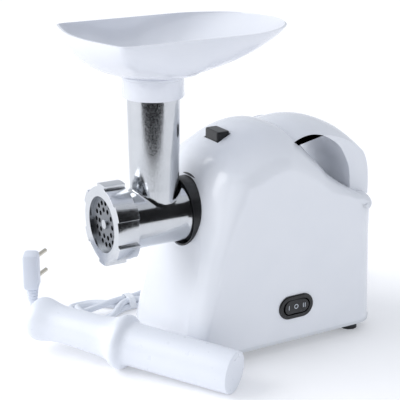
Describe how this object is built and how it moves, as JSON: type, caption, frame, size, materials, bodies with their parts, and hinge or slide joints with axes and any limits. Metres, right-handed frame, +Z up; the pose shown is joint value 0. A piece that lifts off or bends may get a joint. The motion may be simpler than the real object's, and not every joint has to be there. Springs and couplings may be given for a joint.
{
  "type": "electric meat grinder",
  "caption": "Countertop meat grinder: white motor body with carry handle, cast aluminium head with ring nut, scoop tray, loose pusher and mains lead tied in a hank.",
  "frame": {"origin": "on the table, under the middle of the machine and its pusher (the loose lead left out)", "axes": "+Z up, the ring nut faces -Y, the switch is on the +X side"},
  "size_m": [0.2437, 0.3717, 0.29],
  "materials": {
    "gloss_white_abs": "moulded, polished",
    "white_pp": "moulded, fine texture",
    "cast_aluminium": "die cast, polished",
    "blade_steel": "ground",
    "worm_aluminium": "die cast",
    "black_abs": "moulded, satin",
    "feet_rubber": "moulded",
    "acetal": "moulded",
    "shaft_steel": "turned",
    "sintered_bronze": "sintered",
    "lamination_steel": "stacked sheet",
    "copper": "wound wire",
    "brush_housing": "moulded phenolic",
    "white_pvc": "moulded, flexible",
    "nickel_plate": "plated"
  },
  "bodies": {
    "root": {"left_shell": "gloss_white_abs", "right_shell": "gloss_white_abs", "base_cover": "white_pp", "rubber_feet": "feet_rubber", "carry_handle": "gloss_white_abs", "head_socket": "black_abs", "socket_ring": "black_abs", "front_bearing_plate": "shaft_steel", "rear_bearing_plate": "shaft_steel", "plate_pillars": "shaft_steel", "bearing_bushes": "sintered_bronze", "stator_core": "lamination_steel", "field_coils": "copper", "motor_bolts": "shaft_steel", "motor_bracket": "shaft_steel", "brush_holders": "brush_housing", "spring_seat": "black_abs", "button_springs": "shaft_steel", "switch_bezel": "black_abs", "switch_body": "black_abs", "base_screws": "shaft_steel", "mains_lead": "white_pvc", "lead_tail": "white_pvc", "lead_relief": "white_pvc", "lead_hank": "white_pvc", "hank_tie": "white_pvc", "plug": "white_pvc", "plug_pins": "nickel_plate"},
    "head": {"grinding_head": "cast_aluminium", "worm_washer": "acetal"},
    "plate": {"hole_plate": "blade_steel"},
    "nut": {"ring_nut": "cast_aluminium"},
    "tray": {"hopper_tray": "gloss_white_abs"},
    "loose_pusher": {"pusher": "gloss_white_abs"},
    "spindle": {"output_gear": "acetal", "output_spindle": "shaft_steel", "feed_worm": "worm_aluminium", "cutting_knife": "blade_steel"},
    "layshaft": {"lay_pinion": "acetal", "lay_gear": "acetal", "lay_shaft": "shaft_steel"},
    "rotor": {"motor_pinion": "shaft_steel", "rotor_shaft": "shaft_steel", "armature": "lamination_steel", "cooling_fan": "acetal", "commutator": "copper"},
    "button": {"release_button": "black_abs", "head_latch": "black_abs"},
    "rocker": {"switch_rocker": "black_abs"}
  },
  "joints": [
    {"name": "head_turn", "type": "hinge", "parent": "root", "child": "head", "pos_m": [-0.02504, -0.11179, 0.128], "axis": [0, 1, 0], "range_deg": [0, 40]},
    {"name": "nut_advance", "type": "slide", "parent": "head", "child": "plate", "axis": [0, -1, 0], "range_m": [0, 0.009]},
    {"name": "nut_turn", "type": "hinge", "parent": "plate", "child": "nut", "pos_m": [-0.02504, -0.11179, 0.128], "axis": [0, -1, 0], "range_deg": [0, 1080]},
    {"name": "tray_lift", "type": "slide", "parent": "head", "child": "tray", "axis": [0, 0, 1], "range_m": [0, 0.05]},
    {"name": "pusher_lift", "type": "slide", "parent": "root", "child": "loose_pusher", "axis": [0, 0, 1], "range_m": [0, 0.035]},
    {"name": "rotor_spin", "type": "hinge", "parent": "root", "child": "rotor", "pos_m": [-0.02504, -0.11179, 0.066], "axis": [0, 1, 0], "continuous": true},
    {"name": "layshaft_spin", "type": "hinge", "parent": "root", "child": "layshaft", "pos_m": [-0.00265, -0.11179, 0.09105], "axis": [0, 1, 0], "continuous": true},
    {"name": "spindle_spin", "type": "hinge", "parent": "root", "child": "spindle", "pos_m": [-0.02504, -0.11179, 0.128], "axis": [0, 1, 0], "continuous": true},
    {"name": "button_press", "type": "slide", "parent": "root", "child": "button", "axis": [0, 0, -1], "range_m": [0, 0.004], "stiffness_N_per_m": 500, "springref_m": -0.002, "deforming": ["button_springs"]},
    {"name": "rocker_tilt", "type": "hinge", "parent": "root", "child": "rocker", "pos_m": [0.02996, 0.04771, 0.042], "axis": [0, 0, 1], "range_deg": [-8, 8]}
  ],
  "couplings": [
    {"joint": "nut_advance", "follows": "nut_turn", "m_per_rad": 0.00047746},
    {"joint": "layshaft_spin", "follows": "rotor_spin", "ratio": -0.16667},
    {"joint": "spindle_spin", "follows": "rotor_spin", "ratio": 0.033333}
  ]
}
